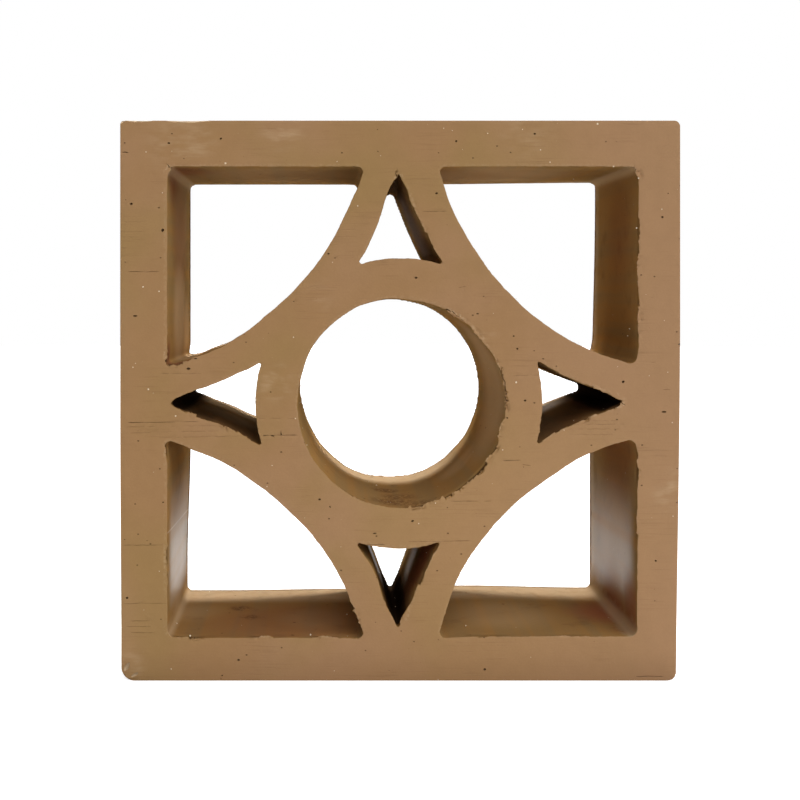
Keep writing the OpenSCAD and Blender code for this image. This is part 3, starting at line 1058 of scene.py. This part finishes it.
def clay_material(colours):
    """Fired clay: blotches, grit, a smoother skin where the die has rubbed it, and painted shade and
    highlights.
    """
    material = bpy.data.materials.new("fired_clay")
    p = emptied(material)
    coordinates = p.add("ShaderNodeTexCoord").outputs
    place = p.scaled(p.vector("SUBTRACT", coordinates["Object"], (MIDDLE.x, FRONT_Y, MIDDLE.z)), 1 / MM)
    x, depth, z = p.split(place)
    facing = p.absolute(p.split(coordinates["Normal"])[1])
    wire_cut = p.fade(facing, 0.45, 0.8)
    skin_share = p.rest(wire_cut)
    opening = p.fade(p.largest(p.absolute(x), p.absolute(z)), 94, 89)

    def use(name, outputs, build):
        group = p.add("ShaderNodeGroup", node_tree=effect(name, outputs, build))
        p.tree.links.new(place, group.inputs["Place"])
        return [group.outputs[output] for output in outputs]

    pink, ochre, mottle, grain = use("Clay blotches", ("Pink", "Ochre", "Mottle", "Grain"), blotches)
    pale, pores, crumbs = use("Clay grit", ("Pale", "Pores", "Crumbs"), grit)
    (faint,) = use("Wire drag lines", ("Faint",), drag_lines)
    streak, smudge = use("Die streaks", ("Streak", "Smudge"), die_streaks)
    torn, arris, streaked, back, scuffed, sooty, ruddy, paler, stained, sheen, dug, grain_face = (
        p.add("ShaderNodeAttribute", attribute_name=name).outputs["Fac"] for name in NOTES
    )
    flecks = p.noise(place, 0.9, 3, 0.65)
    strokes = p.noise(p.vector("MULTIPLY", place, (0.16, 1, 1)), 0.8, 4, 0.7)

    # the wire-cut clay
    cut = p.blend(p.product(pink, 0.8), colours.body, colours.pink)
    cut = p.over(cut, colours.ochre, ochre, 0.8)
    right_side = p.product(p.fade(x, 15, 95), 0.85)
    cut = p.over(cut, colours.pink, right_side)
    # a lighter, more golden patch: partly the clay's own tone, partly a painted pool of light
    golden_light_pool = p.product(p.fade(p.distance(p.join(x, 0, z), (35, 0, -48)), 75, 15), 0.6)
    cut = p.over(cut, colours.golden_light_pool, golden_light_pool)
    # the front face is painted darker towards its foot
    foot = p.product(p.fade(z, -88, -99), 0.2)
    cut = p.over(cut, colours.smoke, foot)
    cut = p.over(cut, colours.smoke, p.fade(mottle, 0.35, 0.7, 0, 0.05))
    cut = p.over(cut, colours.smoke, faint, 0.16)
    clouds = p.noise(p.vector("MULTIPLY", place, (0.35, 1, 1)), 0.3, 2, 0.5)
    rubbed = p.product(scuffed, p.fade(clouds, 0.38, 0.68), p.fade(strokes, 0.3, 0.7, 0.4, 1))
    cut = p.over(cut, colours.dust_and_highlight, rubbed, 0.5)

    # the skin that the die has rubbed
    skin = p.blend(p.fade(streak, 0.35, 0.65), colours.skin, colours.ochre)
    facing_up = p.fade(p.split(coordinates["Normal"])[2], 0.5, 0.9)
    # painted shade: the upward-facing die skin is darker
    skin = p.over(skin, colours.smoke, facing_up, 0.26)
    skin = p.over(skin, colours.smoke, smudge, 0.25)
    # painted shade: darker, redder clay in the cells' corners and on shadowed walls, besides a few redder
    # spots of the clay's own
    skin = p.over(skin, colours.ruddy, ruddy, 0.85)
    # painted highlights in dust colour: pale streaks along the cells' corner fillets and along the back
    # edges of the right-hand walls
    streaks = p.largest(streaked, back)
    skin = p.over(skin, colours.dust_and_highlight, streaks, p.fade(streak, 0.3, 0.55, 0.2, 0.5))
    # painted shadow: a dark band on the wall just behind a torn arris, under its lip
    lip_shadow = p.product(torn, p.fade(depth, 0.5, 1.1), p.fade(depth, 4, 2.2), p.fade(strokes, 0.24, 0.4))
    skin = p.over(skin, colours.hollow_shade, lip_shadow, 0.85)
    crust = p.product(stained, p.fade(flecks, 0.38, 0.58))
    skin = p.over(skin, colours.smoke, crust, 0.9)
    # painted light: paler clay where the walls catch too little light, and painted highlights
    skin = p.over(skin, colours.pale, paler, 0.7)
    off_scratch = p.absolute(p.math("MULTIPLY_ADD", depth, 0.055, p.math("ADD", z, 47.4)))
    scratch = p.product(p.fade(off_scratch, 0.45, 0.15), p.math("LESS_THAN", x, -80), opening)
    skin = p.over(skin, colours.dust_and_highlight, scratch, 0.6)
    skin = p.blend(p.math("MULTIPLY_ADD", opening, -0.65, 0.65), skin, cut)
    # painted highlight: a pale strip at the back of the upward-facing walls, where the light from above
    # and behind falls into the openings
    back_highlight = p.product(facing_up, opening, p.fade(depth, 50, 63), p.fade(mottle, 0.2, 0.6, 0.45, 0.7))
    skin = p.over(skin, colours.dust_and_highlight, back_highlight)
    colour = p.blend(wire_cut, skin, cut)
    tone = p.math("MULTIPLY_ADD", grain, 0.1, 0.95)
    colour = p.blend(1, colour, p.join(tone, tone, tone), "MULTIPLY")
    lip = p.product(p.largest(torn, 0.22), p.fade(arris, 0.9, 0.2), p.fade(flecks, 0.4, 0.6))
    colour = p.over(colour, colours.dust_and_highlight, lip, 0.6)
    colour = p.over(colour, colours.rust, crumbs, 0.45)
    # painted shade: the darts' points and their walls near the front are darkened towards black, through
    # rust where the shade is lighter
    dart_shade_colour = p.blend(p.fade(sooty, 0.7, 0.95, 0.38, 0), colours.shade_black, colours.rust)
    colour = p.blend(p.product(sooty, skin_share, 0.97), colour, dart_shade_colour)
    # painted shade inside pits, pores, cracks and drag lines
    colour = p.over(colour, colours.hollow_shade, p.largest(p.product(pores, 0.7), dug))
    colour = p.over(colour, colours.grit, p.largest(p.product(pale, 0.7), grain_face))

    rough = p.fade(wire_cut, 0, 1, colours.skin_roughness, colours.roughness)
    height = p.total(
        p.product(grain, 0.03), p.product(mottle, 0.1), p.product(pale, 0.05), p.product(pores, -0.2),
        p.product(faint, wire_cut, -0.05), p.product(rubbed, 0.05), p.product(streak, skin_share, 0.04),
    )
    bump = p.add("ShaderNodeBump", {"Height": height, "Distance": MM, "Strength": 1})
    # the side walls of the lower cells are burnished, where the die pressed hardest
    side_wall = p.fade(p.absolute(p.split(coordinates["Normal"])[0]), 0.7, 0.95)
    at_foot = p.product(p.fade(z, -26, -62), p.fade(z, -83, -70), p.fade(p.absolute(x), 70, 80))
    left_right = p.fade(x, -60, 60, 1, 0.8)
    burnished = p.product(
        side_wall, at_foot, opening, p.fade(depth, 1, 16), p.fade(streak, 0.3, 0.6, 0.8, 1), left_right,
        p.math("MULTIPLY_ADD", ruddy, -0.8, 1),
    )
    coat = p.largest(p.product(wire_cut, 0.15), burnished, sheen)
    dull = p.largest(dug, lip_shadow, sooty)
    coat = p.product(coat, p.rest(dull))
    shader = p.add("ShaderNodeBsdfPrincipled", {
        "Base Color": colour, "Roughness": rough, "Normal": bump.outputs[0], "Specular IOR Level": 0,
        "Coat Weight": coat, "Coat Roughness": 0.45,
    })
    p.add("ShaderNodeOutputMaterial", {"Surface": shader.outputs[0]})
    return material


# --------------------------------------------------------------------------- operators


class BREEZE_OT_block(bpy.types.Operator):
    """Form the fired block round the CAD solid, and give it its clay"""

    bl_idname = "breeze.block"
    bl_label = "Fired Block"

    def execute(self, context):
        piece = form_block(context.scene.breeze_shape)
        piece.data.materials.clear()
        piece.data.materials.append(clay_material(context.scene.breeze_clay))
        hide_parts(NODE)
        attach(piece, BODY)
        return {"FINISHED"}


def lamp(name, place, target, size, power, spread=math.pi):
    """A square soft light that looks at a point. A narrow spread keeps its light off the floor around."""
    bpy.ops.object.light_add(type="AREA", location=place)
    light = active()
    light.name = name
    light.data.shape = "RECTANGLE"
    light.data.size = size[0]
    light.data.size_y = size[1]
    light.data.energy = power
    light.data.spread = spread
    light.rotation_euler = (Vector(target) - Vector(place)).to_track_quat("-Z", "Y").to_euler()
    return light


def seen_level(p, camera, gloss, otherwise):
    """One strength where the camera sees the surface, one in gloss and glass, and one as a light."""
    path = p.add("ShaderNodeLightPath").outputs
    mirrored = p.largest(path["Is Glossy Ray"], path["Is Transmission Ray"])
    level = p.number_mix(mirrored, otherwise, gloss)
    return p.number_mix(path["Is Camera Ray"], level, camera)


class BREEZE_OT_studio(bpy.types.Operator):
    """Set up the pale floor, the soft light and the camera"""

    bl_idname = "breeze.studio"
    bl_label = "Studio"

    def execute(self, context):
        studio = context.scene.breeze_studio
        bpy.ops.object.select_all(action="DESELECT")
        bpy.ops.mesh.primitive_circle_add(vertices=96, radius=3, fill_type="NGON", location=(0, 0, 0))
        floor = active()
        floor.name = "studio_floor"
        floor.data.materials.append(floor_material(studio))

        world = bpy.data.worlds.new("Studio surroundings")
        context.scene.world = world
        p = emptied(world)
        strength = seen_level(p, 1, studio.gloss, studio.dome)
        sky = p.add("ShaderNodeBackground", {"Color": (1, 1, 1, 1), "Strength": strength})
        p.add("ShaderNodeOutputWorld", {"Surface": sky.outputs[0]})

        middle = tuple(MIDDLE)
        lamp("key_light", (1.5, -2.75, 2.6), middle, (6, 4.2), studio.key)
        lamp("top_light", (0.05, 0.4, 1.6), (0, 0.03, 0.05), (0.35, 0.35), studio.top, math.radians(20))
        lamp("back_light", (0.6, 2.6, 1), middle, (4, 3), studio.back)

        x, y, z = CAMERA_PLACE
        bpy.ops.object.camera_add(location=(x * MM, FRONT_Y + y * MM, z * MM))
        camera = active()
        camera.rotation_euler = (math.radians(90), 0, 0)
        camera.data.lens = studio.lens
        camera.data.sensor_width = SENSOR_WIDTH
        camera.data.shift_x, camera.data.shift_y = CAMERA_SHIFT
        camera.data.clip_start = 0.01
        context.scene.camera = camera
        context.scene.view_settings.view_transform = "Standard"
        return {"FINISHED"}


def floor_material(studio):
    """A pale floor that reads as white and keeps the block's soft shadow."""
    material = bpy.data.materials.new("studio_floor")
    p = emptied(material)
    matte = p.add("ShaderNodeBsdfDiffuse", {"Color": (0.8, 0.8, 0.8, 1)})
    place = p.add("ShaderNodeTexCoord").outputs["Object"]
    away = p.distance(place, (0, 0, 0))
    plain = p.fade(away, 0.12, 0.5, 0.75, 1)
    pool = p.fade(away, 0.2, 0.42, 0.9, studio.gloss)
    glow = p.add("ShaderNodeEmission", {"Color": (1, 1, 1, 1), "Strength": seen_level(p, plain, pool, 0)})
    both = p.add("ShaderNodeAddShader", {0: matte.outputs[0], 1: glow.outputs[0]})
    p.add("ShaderNodeOutputMaterial", {"Surface": both.outputs[0]})
    return material


class BREEZE_PT_panel(bpy.types.Panel):
    """The block's steps and settings in the sidebar"""

    bl_idname = "BREEZE_PT_panel"
    bl_label = "Breeze Block"
    bl_space_type = "VIEW_3D"
    bl_region_type = "UI"
    bl_category = "Breeze Block"

    def draw(self, context):
        for step in STEPS:
            self.layout.operator(step.bl_idname)
        for name in SETTINGS:
            column = self.layout.column(align=True)
            group = getattr(context.scene, name)
            for key in group.bl_rna.properties.keys():
                if key not in ("rna_type", "name"):
                    column.prop(group, key)


STEPS = (BREEZE_OT_block, BREEZE_OT_studio)
SETTINGS = {"breeze_shape": ShapeSizes, "breeze_clay": ClayColours, "breeze_studio": StudioLevels}
CLASSES = (ShapeSizes, ClayColours, StudioLevels, *STEPS, BREEZE_PT_panel)


def register():
    """Register the classes and put the settings on the scene."""
    for kind in CLASSES:
        bpy.utils.register_class(kind)
    for name, kind in SETTINGS.items():
        setattr(bpy.types.Scene, name, PointerProperty(type=kind))


def unregister():
    """Take the settings and the classes away again."""
    for name in SETTINGS:
        delattr(bpy.types.Scene, name)
    for kind in reversed(CLASSES):
        bpy.utils.unregister_class(kind)


def main():
    """Build the block and its studio."""
    register()
    bpy.ops.breeze.block()
    bpy.ops.breeze.studio()


if __name__ == "__main__":
    main()
